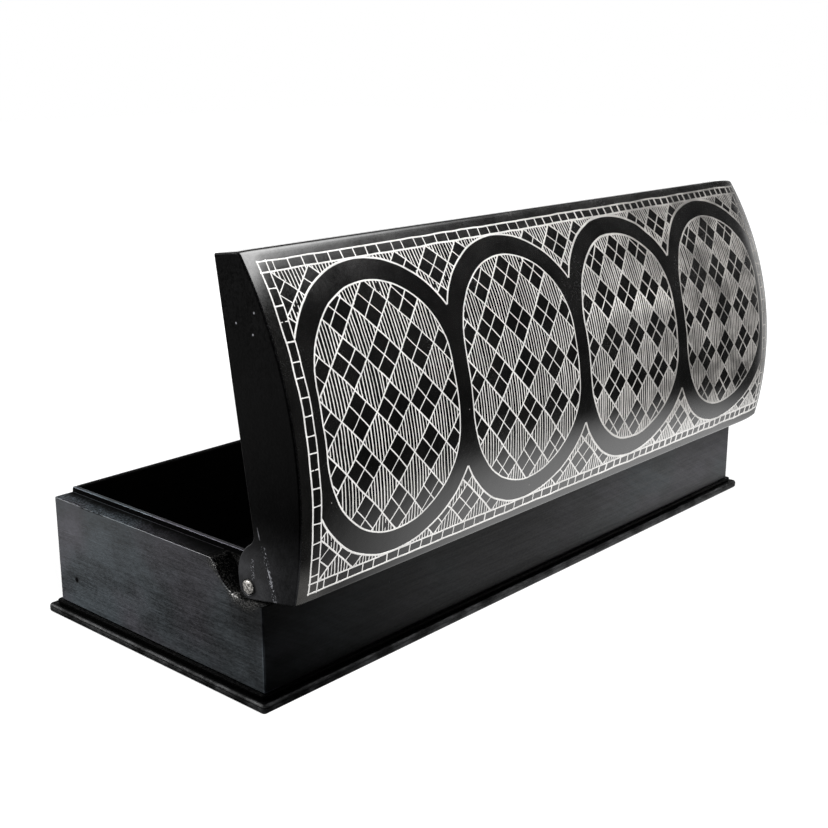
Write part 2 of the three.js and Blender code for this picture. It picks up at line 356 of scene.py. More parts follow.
def paper_finish():
    """Paper that is white to the camera, with a soft shadow, and lit in pools when reflected."""
    paper = Finish("paper")
    ray = paper.node("ShaderNodeLightPath")
    mirrored = ray["Is Glossy Ray"].larger(ray["Is Transmission Ray"])
    seen = paper.mix(mirrored, (PAPER_GREY,) * 3, (0.0, 0.0, 0.0))
    surface = paper.node("ShaderNodeBsdfDiffuse", None, color=seen)
    distance = (paper.x * paper.x + paper.y * paper.y).math("SQRT")
    away = distance.fade(PAPER_CALM, PAPER_REACH)
    facing = (paper.x * VIEW_AWAY[0] + paper.y * VIEW_AWAY[1]) / distance
    backdrop = facing.fade(*BACKDROP_SPREAD) * distance.fade(*SWEEP) * BACKDROP_TONE
    pools = light_pool(paper, **POOLS[0]).larger(light_pool(paper, **POOLS[1]), backdrop)
    lift = ray["Is Camera Ray"] * (NEAR_LIFT + FAR_LIFT * away) + mirrored * (pools + PAPER_DIM)
    glow = paper.node("ShaderNodeEmission", None, color=(1, 1, 1, 1), strength=lift)
    both = paper.node("ShaderNodeAddShader", None, surface, glow)
    paper.node("ShaderNodeOutputMaterial", None, surface=both)
    return paper.material


# %% The floor that carries the paper
FLOOR_HALF_SIZE, FLOOR_DEPTH = 3.0, 0.0002


def plain_object(name, mesh, *materials):
    """A mesh as an object at the origin, with its materials."""
    made = bpy.data.objects.new(name, mesh)
    for material in materials:
        mesh.materials.append(material)
    bpy.context.scene.collection.objects.link(made)
    return made


def floor_plane(half_size, height):
    mesh = bpy.data.meshes.new("paper_floor")
    signs = ((-1, -1), (1, -1), (1, 1), (-1, 1))
    corners = [(sx * half_size, sy * half_size, height) for sx, sy in signs]
    mesh.from_pydata(corners, [], [(0, 1, 2, 3)])
    return mesh


floor = plain_object("paper_floor", floor_plane(FLOOR_HALF_SIZE, -FLOOR_DEPTH), paper_finish())
print("paper, m:", tuple(floor.dimensions))

# %% [markdown]
# The room is the world shader. The camera sees plain white, reflections see a white backdrop
# on one side, a lamp's glow high up and a dim ceiling, and all other rays see an even fill.
# An image of a room could light it too, but plain bands are easier to place. Two soft lamps
# add what a fill can't: a direction, and a shadow on the paper.

# %% Backdrop and room
BACKDROP_TOP = (0.32, 0.14)
CEILING_RISE = (0.3, 0.6)
CEILING_TONE = 0.02
GLOW_RISE = (0.585, 0.68)
GLOW_SPREAD = (-0.77, -0.65)
GLOW_END = (-0.25, -0.45)
GLOW_SIDE = (-0.35, 0.05)
GLOW_TONE = 5.5
ROOM_TONE = 0.03
FILL_TONE = 0.22


def room_reflection(room):
    """What a reflection sees of the room, from its direction."""
    direction = room.node("ShaderNodeTexCoord")["Generated"]
    facing = room.vector("DOT_PRODUCT", direction, (*VIEW_AWAY, 0), output="Value")
    split = room.node("ShaderNodeSeparateXYZ", None, direction)
    backdrop = facing.fade(*BACKDROP_SPREAD) * split["Z"].fade(*BACKDROP_TOP) * BACKDROP_TONE
    ceiling = split["Z"].fade(*CEILING_RISE) * CEILING_TONE
    glow = split["Y"].fade(*GLOW_SIDE) * split["Z"].fade(*GLOW_RISE)
    glow = glow * split["X"].fade(*GLOW_SPREAD) * split["X"].fade(*GLOW_END) * GLOW_TONE
    return backdrop.larger(ceiling, glow) + ROOM_TONE


def room_light():
    """White for the camera, the room for reflections, and a plain fill."""
    world = bpy.data.worlds.new("room")
    world.use_nodes = True
    room = Tree(world.node_tree)
    room.nodes.clear()
    ray = room.node("ShaderNodeLightPath")
    mirrored = ray["Is Glossy Ray"].larger(ray["Is Transmission Ray"])
    camera_tone = ray["Is Camera Ray"]
    rest = 1 - camera_tone.larger(mirrored)
    strength = camera_tone + mirrored * room_reflection(room) + rest * FILL_TONE
    glow = room.node("ShaderNodeBackground", None, color=(1, 1, 1, 1), strength=strength)
    room.node("ShaderNodeOutputWorld", None, surface=glow)
    world.cycles.sampling_method = "NONE"
    return world


bpy.context.scene.world = room_light()
print("world:", bpy.context.scene.world.name)


# %% Lamps
def soft_lamp(name, place, target, size, power):
    """A square lamp that the camera can't see, turned to a point."""
    data = bpy.data.lights.new(name, "AREA")
    data.size = size
    data.energy = power
    lamp = bpy.data.objects.new(name, data)
    lamp.location = place
    lamp.rotation_euler = (Vector(target) - Vector(place)).to_track_quat("-Z", "Y").to_euler()
    lamp.visible_camera = False
    bpy.context.scene.collection.objects.link(lamp)
    return lamp


wash = soft_lamp("wash_back", (0.4, 1.0, 0.65), (0, 0.05, 0.09), size=0.6, power=25.0)
wash.visible_glossy = False
soft_lamp("key_left", (0.9, -0.9, 0.8), (0.05, 0, 0.05), size=0.5, power=20.0)

# %% [markdown]
# Cast plates have no sharp edges after years of handling. Each plate is copied from the CAD,
# its loose triangles are merged into whole faces, and its sharp edges are rounded with three
# narrow strips. A Bevel modifier could round them too, but bmesh also tells which faces are
# the new strips. They carry a value named `wear`, so that the finish can brighten the metal
# just there. A weighted normal keeps the broad faces flat.

# %% Edges that stay as they are
RIM = 0.8
FLUSH = 0.02


def on_seam(edge):
    """Whether an edge lies where two pieces meet flush."""
    places = [[abs(v) / MM for v in corner.co] for corner in edge.verts]

    def at_wall(x, y):
        return abs(y - WALL_Y) < FLUSH and min(abs(x - INNER_X), abs(x - ROOM_X)) < FLUSH

    at_walls = all(at_wall(x, y) for x, y, z in places)
    at_rim = all(abs(x - (LID_END_X - RIM)) < FLUSH for x, y, z in places)
    return at_walls or at_rim


# %% Worn plates
WELD = 0.004
FLAT = math.radians(0.6)


def add_attribute(mesh, name, values):
    mesh.attributes.new(name, "FLOAT", "POINT").data.foreach_set("value", values)


def round_edges(work, edge, least):
    """Bevels the sharp edges and returns the wear of each corner."""
    bmesh.ops.remove_doubles(work, verts=work.verts, dist=WELD * MM)
    bmesh.ops.dissolve_limit(work, angle_limit=FLAT, verts=work.verts, edges=work.edges)
    sharp = [e for e in work.edges if e.is_manifold and e.calc_face_angle() > least]
    sharp = [e for e in sharp if not on_seam(e)]
    strips = bmesh.ops.bevel(
        work, geom=sharp, offset=edge * MM, offset_type="OFFSET", segments=3, profile=0.5,
        affect="EDGES", clamp_overlap=True, miter_outer="ARC",
    )["faces"]
    strips = set(strips)
    for face in work.faces:
        face.smooth = True
    for joint in work.edges:
        joint.smooth = joint.calc_face_angle(0.0) < least
    return [1.0 if all(f in strips for f in v.link_faces) else 0.0 for v in work.verts]


def reshape(mesh, shape):
    """Moves the points of a mesh by a rule that works in millimetres."""
    points = np.empty(len(mesh.vertices) * 3, np.float32)
    mesh.vertices.foreach_get("co", points)
    moved = shape(points.reshape(-1, 3) / MM).astype(np.float32)
    mesh.vertices.foreach_set("co", moved.ravel() * MM)


def worn_copy(name, node, material, edge, sharpest=38, shape=None):
    """A copy of a CAD node with rounded, worn edges, which stands for the node."""
    work = bmesh.new()
    work.from_mesh(frame["nodes"][node].data)
    worn = round_edges(work, edge, math.radians(sharpest))
    mesh = bpy.data.meshes.new(name)
    work.to_mesh(mesh)
    work.free()
    add_attribute(mesh, "wear", worn)
    if shape:
        reshape(mesh, shape)
    piece = plain_object(name, mesh, material)
    normals = piece.modifiers.new("even_normals", "WEIGHTED_NORMAL")
    normals.keep_sharp = True
    normals.weight = 100
    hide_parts(node)
    print(name, "faces:", len(mesh.polygons))
    return piece


# %% [markdown]
# The plates are a zinc alloy, blackened and then rubbed. Streaks of the file run along the
# walls, the black has worn thin in cloudy patches, and dust sits in small pits. Each of these
# is one layer of noise at the size it has on the real wall, so that the layers add up to a
# surface that looks right near and far.


# %% Layers of the wall metal
def wall_layers(metal):
    """Noise for the walls, and the wear of their edges."""
    return SimpleNamespace(
        wear=metal.wear(),
        streaks=metal.grain(2.4, (12, 12, 0.4), 5.0).fade(0.34, 0.66),
        fine=metal.grain(0.8, (2, 2, 0.7)).fade(0.3, 0.7),
        clouds=metal.grain(16, (1, 1, 0.7), 5.0).fade(0.35, 0.65),
        hairlines=metal.grain(0.7, (25, 25, 0.5)).fade(0.6, 0.7),
        brushed=metal.grain(1.4, (9, 9, 0.7), 4.0, turn=0.5).fade(0.4, 0.62),
        dust=metal.grain(0.6, detail=2.0).fade(0.38, 0.68),
        pits=metal.specks(6.0, 0.5, 0.10),
    )


# %% [markdown]
# One metal covers all the walls, but it differs from place to place: worn and dusty in some, and
# darkened by painted shade and lightened by painted light in others. A place is found by its
# coordinates: comparing x, y and z with the sizes of the tray gives a mask for the side, the ledge,
# the lip and the recess. A second material with borders on the faces could do the same, but then the
# painted shade and the dust could not fade out where they do on the box.

# %% Parts of the walls
SWEEP_CENTRE = (PIN_Y - 2.5, PIN_Z + 8.9)
RECESS_RADIUS = 13.5
SHADE_ROUND_RECESS_RADII = (16.5, 14.0)
LEDGE_SHADOW_WIDTH = (6.5, 1.5)
LEDGE_END_Y = 30.0


def wall_parts(metal, layers):
    """Masks that are 1 on one part of the walls."""
    x, y, z = metal.x.absolute(), metal.y, metal.z
    dy, dz = y - SWEEP_CENTRE[0], z - SWEEP_CENTRE[1]
    sweep = (dy * dy + dz * dz).math("SQRT")
    # painted shadow: a dark stripe on the ledge beside the riser, with a ragged edge
    gap = x - INNER_X + 1.5 * (layers.fine - 0.5) + 2.0 * (layers.clouds - 0.5)
    side = y.above(WALL_Y - 0.3)
    inside_end = x.above(INNER_X - 0.05) * x.below(END_X - 0.3)
    below_ledge = z.below(LEDGE_Z - 0.02)
    rim = z.above(LEDGE_Z + LIP_HEIGHT - 0.3)
    # painted shade: a darker ring round the recess under the ear
    shade_round_recess = (sweep + 3 * (layers.clouds - 0.5)).fade(*SHADE_ROUND_RECESS_RADII)
    return SimpleNamespace(
        side=side,
        end=1 - side,
        # painted shade: the long side darker towards the near end
        near_end_shade=side * metal.x.fade(-120, 30),
        # painted shade: the long side darker towards its foot, above the plinth
        shaded_foot=side * z.fade(12, 5),
        # the near vertical corner: rubbed wear, and a painted highlight along it
        corner=x.above(END_X - 0.7) * y.above(WALL_Y - 0.7),
        shade_round_recess=shade_round_recess * z.below(LEDGE_Z) * (1 - side),
        lip=rim * x.above(ROOM_X + 0.2) * x.below(INNER_X + 0.01),
        ledge=(z - LEDGE_Z).absolute().below(0.1) * x.above(INNER_X + 0.01),
        # painted shade: the ledge's end, the riser and the recess are made black
        ledge_end=inside_end * y.above(LEDGE_END_Y) * z.above(LEDGE_Z - 1.5) * z.below(LEDGE_Z + 0.1),
        gap=gap.fade(*LEDGE_SHADOW_WIDTH),
        riser=(x - INNER_X).absolute().below(0.05) * z.above(LEDGE_Z - 0.02),
        recess=sweep.below(RECESS_RADIUS + 0.2) * inside_end * below_ledge,
    )


def inside_tray(metal):
    """1 on the faces that look into the tray, and on the front wall's black top."""
    x, y, z = metal.x.absolute(), metal.y, metal.z
    room = x.below(ROOM_X + 0.02) * y.absolute().below(WALL_Y - 1.5)
    room = room * z.below(LEDGE_Z + LIP_HEIGHT + 0.1) * z.above(FLOOR_Z - 0.1)
    front_top = y.below(-WALL_Y + 3.1) * y.above(-WALL_Y + 0.25)
    return room.larger(front_top * z.above(LEDGE_Z) * x.below(ROOM_X))


# %% [markdown]
# Some marks are on one spot only: bright burrs beside the pin, where the recess was filed out,
# and a few nicks in the near wall. Each is a fade round a place, or a scratch between two.
# A painted image could carry them too, but a few places and reaches say the same in less.

# %% Marks on the near wall
BURRS = (((END_X, 44.2, 37.2), 3.6, 1.0), ((END_X, 35.5, 45.5), 3.5, 0.6))
BRIGHT_BURR = ((END_X, 45.0, 37.0), 2.2)
NICK = ((END_X, -41, LEDGE_Z - 0.4), (END_X, -27, LEDGE_Z - 0.3), 0.9)
DENT = ((END_X, -46.5, 15.7), 1.6)
# SHADED and the edge under the ear are painted shade below the lid's ear.
SHADED = ((END_X, 54.0, 33.0), 15)
SHADED_EDGE_UNDER_EAR = ((END_X, 53.0, 35.8), 10)


def burrs(metal, parts):
    """Bright, torn metal along the edge of the recess."""
    spots = [share * metal.near(place, reach) for place, reach, share in BURRS]
    torn = metal.grain(0.5, detail=2.0).fade(0.52, 0.6)
    rough = spots[0].larger(spots[1], 0.12 * parts.shade_round_recess) * torn
    return rough.larger(0.5 * metal.near(*BRIGHT_BURR))


def nicks(metal, layers):
    """A row of nicks under the ledge and one dent lower down."""
    return (metal.scratch(*NICK) * layers.fine).larger(metal.near(*DENT))


# %% [markdown]
# The tone, the black and the colour of the walls are now plain sums of layers, parts and marks. Much
# of the black and some of the tone are painted shade and painted light. Black metal that should not
# shine is made metallic with a black colour, because a metal reflects only its own colour. The finish
# ends in one Principled shader.

# %% Blackened wall metal
WALL_TONE = 0.0145
FRONT_LIGHT_GAIN = 1.1
BLACK_AND_PAINTED_SHADE = (0.003, 0.003, 0.003)
BARE_METAL = (0.5, 0.49, 0.47)


def wall_tone(metal, layers, parts, dusty):
    """How light the metal is, with painted shade and painted light in it."""
    fine, clouds = layers.fine, layers.clouds
    tone = 0.3 + 0.7 * clouds + 0.35 * layers.streaks + 0.6 * fine + 0.9 * layers.hairlines
    # Painted light: the end plates lighter towards the front.
    tone = WALL_TONE * tone * (1 + FRONT_LIGHT_GAIN * parts.end * metal.y.fade(60, -60))
    # Painted shade: the long side darker towards the near end and towards its foot.
    tone = tone * (1 - 0.75 * parts.near_end_shade) * (1 - 0.8 * parts.shaded_foot)
    tone = tone * (1 - 0.4 * parts.side * layers.brushed)
    # Edges are brightened by wear; the near corner also carries a painted highlight.
    tone = tone + (layers.wear + 0.3 * parts.corner) * 0.05 * clouds
    # Painted shade round the recess and under the ear darkens the end plate.
    tone = tone * (1 - 0.8 * parts.shade_round_recess) * (1 - 0.65 * metal.near(*SHADED))
    tone = tone * (1 - parts.ledge) + parts.lip * (0.008 + 0.015 * fine)
    return tone + parts.ledge * (0.004 + 0.15 * dusty)


def wall_black(metal, layers, parts, nicked):
    """Where the metal is black: inside the tray, the nicks, and painted shade on the riser, the
    recess, the ledge beside the riser, the ledge's end and the edge under the ear.
    """
    return inside_tray(metal).larger(
        parts.riser,
        parts.recess * (1 - 0.5 * layers.fine * layers.clouds),
        parts.ledge * parts.gap,
        parts.ledge_end,
        nicked,
        layers.wear * metal.near(*SHADED_EDGE_UNDER_EAR),
    )


def wall_finish():
    """Filed and blackened metal with cloudy wear, brighter along its edges."""
    metal = Finish("wall_metal")
    layers = wall_layers(metal)
    parts = wall_parts(metal, layers)
    dusty, nicked = layers.dust * metal.y.fade(30, -30), nicks(metal, layers)
    tone = wall_tone(metal, layers, parts, dusty)
    black = wall_black(metal, layers, parts, nicked)
    teal, plum = metal.colour(tone, 0.80, 0.98, 1.12), metal.colour(tone, 0.95, 0.93, 1.12)
    tinted = metal.mix(metal.grain(40, detail=2.0).fade(0.4, 0.6), teal, plum)
    shineless = parts.ledge * (1 - 0.3 * dusty)
    height = layers.streaks * 0.4 + layers.fine * 0.4 - layers.pits - nicked
    return metal.close(
        base_color=metal.mix(burrs(metal, parts), metal.mix(black, tinted, BLACK_AND_PAINTED_SHADE), BARE_METAL),
        # the metallic black towards the long side's near end is painted shade as well
        metallic=black.larger(0.65 * parts.near_end_shade, shineless, 0.75 * parts.lip),
        roughness=0.42 + 0.1 * layers.streaks + 0.1 * layers.fine + 0.3 * black,
        ior=1.6,
        normal=metal.bump(height, 0.04),
    )


wall_metal = wall_finish()

# %% [markdown]
# The plinth is the same alloy, but nobody polished it. Its top is made black, as painted shade, its
# outer edge is rubbed grey, and a groove along the middle of that edge is a bump painted darker, as
# painted shade. A second material on the edge would end in a hard line, so the distance out from the
# walls fades one into the other.

# %% Plinth metal
PLINTH_RIM = (2.6, 3.3)
GROOVE_Z = 2.1
GROOVE_WIDTH = (0.35, 0.1)


def plinth_finish():
    """Rougher metal: black on top as painted shade, rubbed grey round its outer edge."""
    metal = Finish("plinth_metal")
    fine = metal.grain(0.7, (2, 2, 1)).fade(0.3, 0.7)
    clouds = metal.grain(9, detail=4.0).fade(0.35, 0.65)
    out = (metal.x.absolute() - END_X).larger(metal.y.absolute() - WALL_Y)
    rim = out.fade(*PLINTH_RIM)
    # painted shade: the groove is darker, with a bump for its dip
    groove = (metal.z - GROOVE_Z - 0.3 * clouds).absolute().fade(*GROOVE_WIDTH) * rim
    rubbed = rim * (0.004 + 0.026 * fine * clouds) * (1 - 0.9 * groove)
    # The top keeps a black tone and full metallic: painted shade.
    tone = 0.001 + rubbed + metal.wear() * 0.02 * clouds
    return metal.close(
        base_color=metal.colour(tone, 0.97, 1.0, 1.05),
        metallic=1 - rim * (0.2 + 0.5 * clouds),
        roughness=0.5 + 0.2 * fine,
        ior=1.6,
        normal=metal.bump(fine * 0.7 + clouds * 0.3 - groove, 0.08),
    )


plinth_metal = plinth_finish()

# %% Plates of the tray
PLINTH_EDGE, WALL_EDGE = 0.3, 0.4

for name, node in {
    "plinth_edge": "plinth_plate",
    "floor_step": "floor_plate",
}.items():
    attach(worn_copy(name, node, plinth_metal, PLINTH_EDGE), "tray")
for name, node in {
    "front_wall_plate": "front_wall",
    "back_wall_plate": "back_wall",
    "near_end_plate": "right_end_plate",
    "far_end_plate": "left_end_plate",
    "near_inner_wall": "right_inner_wall",
    "far_inner_wall": "left_inner_wall",
}.items():
    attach(worn_copy(name, node, wall_metal, WALL_EDGE), "tray")

# %% [markdown]
# The lid's sheet rolls off a little towards both ends, where the planisher's hammer met the
# cheeks. The same rule shapes the sheet and the cheeks' rims, so that they still meet. It is
# written once for numbers, here, and once for sockets, in the recipe of the sheet.

# %% How the dome rolls off
ROLL = {"near_start": 142.0, "near_depth": 0.5, "far_start": 134.0, "far_depth": 1.3}
SUNK = 0.06
BELOW_ROLL = (124.0, 131.0)


def roll_off(x):
    """How far the dome's surface drops towards an end, in millimetres."""
    start = np.where(x < 0, ROLL["far_start"], ROLL["near_start"])
    depth = np.where(x < 0, ROLL["far_depth"], ROLL["near_depth"])
    return depth * np.clip((np.abs(x) - start) / (LID_END_X - start), 0, 1) ** 2


def shut(points):
    """Points of the open lid as they lie when it is shut, from the pin axis, in mm."""
    turned = Matrix.Rotation(OPEN_ANGLE, 3, "X")
    return (points - np.array(PIN_AXIS) / MM) @ np.array(turned).T


def opened(points):
    """The reverse of shut."""
    turned = Matrix.Rotation(-OPEN_ANGLE, 3, "X")
    return points @ np.array(turned).T + np.array(PIN_AXIS) / MM


def rolled_rim(points):
    """Lowers a cheek's rim by the dome's roll."""
    flat = shut(points)
    offset = flat[:, 1:] - DOME_CENTRE
    radius = np.hypot(*offset.T)
    low, high = BELOW_ROLL
    share = np.clip((radius - low) / (high - low), 0, 1)
    drop = share * share * (3 - 2 * share) * (roll_off(flat[:, 0]) + SUNK)
    flat[:, 1:] = DOME_CENTRE + offset * ((radius - drop) / radius)[:, None]
    return opened(flat)


print("roll-off at the ends, mm:", roll_off(np.array([-LID_END_X, LID_END_X])))

# %% [markdown]
# The cheeks close the lid's ends. They are black and satin, with specks of dust, and the ear that
# swings on the pin is painted a lighter grey, a painted sheen. The swing has drawn a long scratch down
# it, with a track of small chips. These marks follow lines between places, so `scratch` draws them.

# %% Cheek metal
EAR_SCRATCHES = (
    ((LID_END_X, 55.4, 61.6), (LID_END_X, 56.4, 57.9), 0.5),
    ((LID_END_X, 59.9, 48.6), (LID_END_X, 61.7, 43.8), 0.8),
)
EAR_TRACK = ((LID_END_X, 58.0, 55.0), (LID_END_X, 62.8, 38.3), 2.6)
EAR_SIDE_TRACK = ((LID_END_X, 52.5, 50.5), (LID_END_X, 52.5, 43.7), 2.2)
CHEEK_SPECKS = ((57.3, 130.6), (48.9, 126.4), (56.5, 123.8))
SPECK_RADIUS = 0.5
PIN_SHADOW = ((LID_END_X, PIN_Y + 1.4, PIN_Z), 3.8)
RIM_SETBACK, RIM_FROM_Z = 0.28, 40.0


def cheek_scratches(metal, fine):
    """The scratches and the tracks of chips on the ear."""
    first, second = (metal.scratch(*line) for line in EAR_SCRATCHES)
    chips = metal.grain(0.6, detail=2.0).fade(0.56, 0.66)
    track = metal.scratch(*EAR_TRACK).larger(0.5 * metal.scratch(*EAR_SIDE_TRACK)) * chips
    return (first.larger(second) * (0.3 + 0.7 * fine)).larger(track)


def cheek_dust(metal):
    """Scattered dust, and three specks that are brighter."""
    dust = metal.specks(9.0, 0.5, 0.25).larger(0.6 * metal.specks(3.0, 0.3, 0.06))
    bright = [2.0 * metal.near((LID_END_X, *place), SPECK_RADIUS) for place in CHEEK_SPECKS]
    return dust.larger(*bright)


def cheek_finish():
    """Black satin metal of the lid's ends, mottled and a little dusty."""
    metal = Finish("cheek_metal")
    clouds = metal.grain(12, detail=5.0).fade(0.35, 0.65)
    fine = metal.grain(0.9, detail=4.0).fade(0.35, 0.65)
    # Painted shadow: a dark ring round the pin.
    scratches, pin_shadow = cheek_scratches(metal, fine), metal.near(*PIN_SHADOW)
    # painted sheen: the ear painted lighter towards its foot and its front
    ear_sheen = metal.z.fade(68, 46) * (0.55 + 0.45 * metal.y.fade(66, 52))
    rim = metal.x.absolute().below(LID_END_X - RIM_SETBACK) * metal.z.above(RIM_FROM_Z)
    tone = 0.001 + 0.003 * clouds * fine + metal.wear() * 0.05 * clouds
    tone = tone + cheek_dust(metal) * 0.25 + scratches * 0.35 + 0.022 * ear_sheen * (0.5 + clouds)
    shineless = 0.85 + 0.15 * metal.z.fade(120, 60) * (1 - ear_sheen) - 0.6 * ear_sheen.larger(rim)
    return metal.close(
        base_color=metal.colour(tone * (1 - 0.9 * pin_shadow), 0.97, 0.98, 1.06),
        metallic=shineless.larger(pin_shadow),
        roughness=0.4 + 0.15 * fine - 0.2 * rim,
        ior=1.5,
        normal=metal.bump(fine * 0.4 + clouds * 0.6 - scratches, 0.04),
    )


cheek_metal = cheek_finish()

# %% Cheeks
CHEEK_EDGE, CHEEK_SHARPEST = 0.3, 50

for name, node in {"near_cheek": "right_cheek", "far_cheek": "left_cheek"}.items():
    cheek = worn_copy(name, node, cheek_metal, CHEEK_EDGE, CHEEK_SHARPEST, rolled_rim)
    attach(cheek, "lid")

# %% [markdown]
# `Recipe` is a Geometry Nodes tree whose sizes are named inputs. It puts the tree on a plain
# source object, sets each input by its identifier, and keeps only the finished mesh.

# %% Recipes for Geometry Nodes
SOCKET_KINDS = {
    float: "NodeSocketFloat",
    int: "NodeSocketInt",
    bpy.types.Material: "NodeSocketMaterial",
}


class Recipe(Tree):
    """A Geometry Nodes tree with named sizes."""

    def __init__(self, name, **sizes):
        self.group = bpy.data.node_groups.new(name, "GeometryNodeTree")
        super().__init__(self.group)
        self.sizes = sizes
        socket = self.group.interface.new_socket
        socket("Geometry", in_out="INPUT", socket_type="NodeSocketGeometry")
        socket("Geometry", in_out="OUTPUT", socket_type="NodeSocketGeometry")
        self.identifiers = {}
        for label, value in sizes.items():
            kind = next(k for t, k in SOCKET_KINDS.items() if isinstance(value, t))
            made = socket(label, in_out="INPUT", socket_type=kind)
            self.identifiers[label] = made.identifier
        self.inputs = Outputs(self, self.nodes.new("NodeGroupInput"))

    def make(self, source, geometry, name):
        """Runs the recipe on a source object and returns the finished mesh."""
        real = self.node("GeometryNodeRealizeInstances", None, geometry)
        painted = self.node("GeometryNodeSetMaterial", None, real, None, self.inputs["material"])
        self.node("NodeGroupOutput", None, painted)
        modifier = source.modifiers.new(self.group.name, "NODES")
        modifier.node_group = self.group
        for label, value in self.sizes.items():
            modifier[self.identifiers[label]] = value
        bpy.context.view_layer.update()
        ready = source.evaluated_get(bpy.context.evaluated_depsgraph_get())
        mesh = bpy.data.meshes.new_from_object(ready)
        mesh.name = name
        bpy.data.objects.remove(source)
        return mesh

    def moved(self, geometry, position):
        return self.node("GeometryNodeSetPosition", None, geometry, None, position)

    def point(self, x, y, z):
        return self.node("ShaderNodeCombineXYZ", None, x, y, z)

    def here(self):
        """The X, Y and Z of each point."""
        position = self.node("GeometryNodeInputPosition")
        split = self.node("ShaderNodeSeparateXYZ", None, position)
        return split["X"], split["Y"], split["Z"]

    def block(self, low, high):
        """A block between two corners, in millimetres."""
        size = [(b - a) * MM for a, b in zip(low, high)]
        centre = [(a + b) / 2 * MM for a, b in zip(low, high)]
        cube = self.node("GeometryNodeMeshCube", None, size)
        return self.node("GeometryNodeTransform", None, cube["Mesh"], centre)

    def roll_off(self, x):
        """How far the dome's surface drops at an x, from the recipe's own sizes in metres."""
        given = self.inputs
        far = x.below(0.0)
        start = given["near_start"] + far * (given["far_start"] - given["near_start"])
        depth = given["near_depth"] + far * (given["far_depth"] - given["near_depth"])
        share = ((x.absolute() - start) / (LID_END_X * MM - start)).larger(0.0)
        return share * share * depth

    def open_lid(self, geometry):
        """Swings a geometry from the shut place to the open lid."""
        turn = (-OPEN_ANGLE, 0, 0)
        return self.node("GeometryNodeTransform", None, geometry, tuple(PIN_AXIS), turn)


ROLL_SIZES = {label: size * MM for label, size in ROLL.items()}
print("sizes that both recipes share:", list(ROLL_SIZES))

# %% [markdown]
# The dome is one sheet, bent over a former. Its section is drawn as a line of points: a front
# flange, the long arc, a back skirt rounded about the pin, and the same arc again inside. The
# recipe draws it out along X, shrinks it by the roll-off at the ends, and cuts the notches.
# A flat grid could be bent instead, but a drawn section gives the flange, the skirt and the
# thickness in one closed line.

# %% Section of the sheet
SHEET, SKIRT = 2.6, 2.4
FRONT_ROUND, BACK_ROUND = 2.2, 1.4


def arc_points(centre, radius, start, end, steps):
    angles = np.linspace(start, end, steps + 1)
    return np.array(centre) + radius * np.column_stack([np.cos(angles), np.sin(angles)])


def under_dome(radius, y):
    """The point at y on an arc about the dome's centre."""
    return (y, DOME_CENTRE[1] + math.sqrt(radius**2 - (y - DOME_CENTRE[0]) ** 2))


def dome_angle(point):
    return math.atan2(point[1] - DOME_CENTRE[1], point[0] - DOME_CENTRE[0])


def sheet_section():
    """The closed outline of the bent sheet, its outer face a hair inside the CAD face."""
    outer, inner = DOME_RADIUS - SUNK, DOME_RADIUS - SHEET
    front = under_dome(outer - FRONT_ROUND, LID_FRONT + FRONT_ROUND)
    back = under_dome(outer - BACK_ROUND, LID_BACK - BACK_ROUND)
    inner_back = dome_angle(under_dome(inner, LID_BACK - SKIRT))
    inner_front = dome_angle(under_dome(inner, LID_FRONT + SHEET))
    tip = math.acos((LID_BACK - SKIRT) / KNUCKLE)
    return np.vstack([
        [(LID_FRONT, SEAT_Z)],
        arc_points(front, FRONT_ROUND, math.pi, dome_angle(front), 8),
        arc_points(DOME_CENTRE, outer, dome_angle(front), dome_angle(back), 110)[1:-1],
        arc_points(back, BACK_ROUND, dome_angle(back), 0, 6),
        arc_points((0, 0), KNUCKLE, 0, -tip, 8),
        arc_points(DOME_CENTRE, inner, inner_back, inner_front, 60),
        [(LID_FRONT + SHEET, SEAT_Z)],
    ])


section = sheet_section()
section_mesh = bpy.data.meshes.new("sheet_section")
ring = [(i, (i + 1) % len(section)) for i in range(len(section))]
section_mesh.from_pydata([(-y * MM, -z * MM, 0) for y, z in section], ring, [])
print("points in the section:", len(section))

# %% [markdown]
# The dome is deep black, polished and lacquered by handling, so that it mirrors the room. Its
# base is nearly black and not metallic, and a coat adds the second, sharper shine. Haze lies
# along the top edge, and the near lower corner has been rubbed grey by the hand that opens it.

# %% Black polished sheet
HAZE_RISE = (138, 146)
HANDLED_X, HANDLED_Z = (128, 146), (56, 44)


def dome_finish():
    """Deep black and glossy, hazy at the top edge and rubbed at one corner."""
    metal = Finish("dome_metal")
    clouds = metal.grain(20, detail=5.0).fade(0.35, 0.65)
    fine = metal.grain(1.2, detail=4.0).fade(0.35, 0.65)
    haze = metal.z.fade(*HAZE_RISE) * metal.grain(9, (1.5, 1, 1), 4.0).fade(0.4, 0.62)
    handled = metal.x.fade(*HANDLED_X) * metal.z.fade(*HANDLED_Z)
    tone = 0.001 + 0.002 * clouds + 0.009 * haze + 0.12 * metal.specks(4.0, 0.3, 0.05)
    tone = tone + 0.024 * handled * (0.5 + clouds)
    return metal.close(
        base_color=metal.colour(tone, 1.0, 0.97, 0.92),
        metallic=0.0,
        roughness=0.15 + 0.06 * fine + 0.07 * clouds,
        ior=1.7,
        coat_weight=0.6,
        coat_roughness=0.12,
        coat_ior=1.6,
        normal=metal.bump(clouds * 0.7 + fine * 0.06, 0.05),
    )


dome_metal = dome_finish()

# %% [markdown]
# A straight line along X carries the section. Its stations crowd towards the ends, where the
# sheet curves, because a sine spaces them. Each point then moves towards the dome's centre by
# the roll-off. Booleans at the end cut the clearance over the front wall and the notches for
# the lugs and ears, because those cuts cross the sheet and follow no rule of its own.


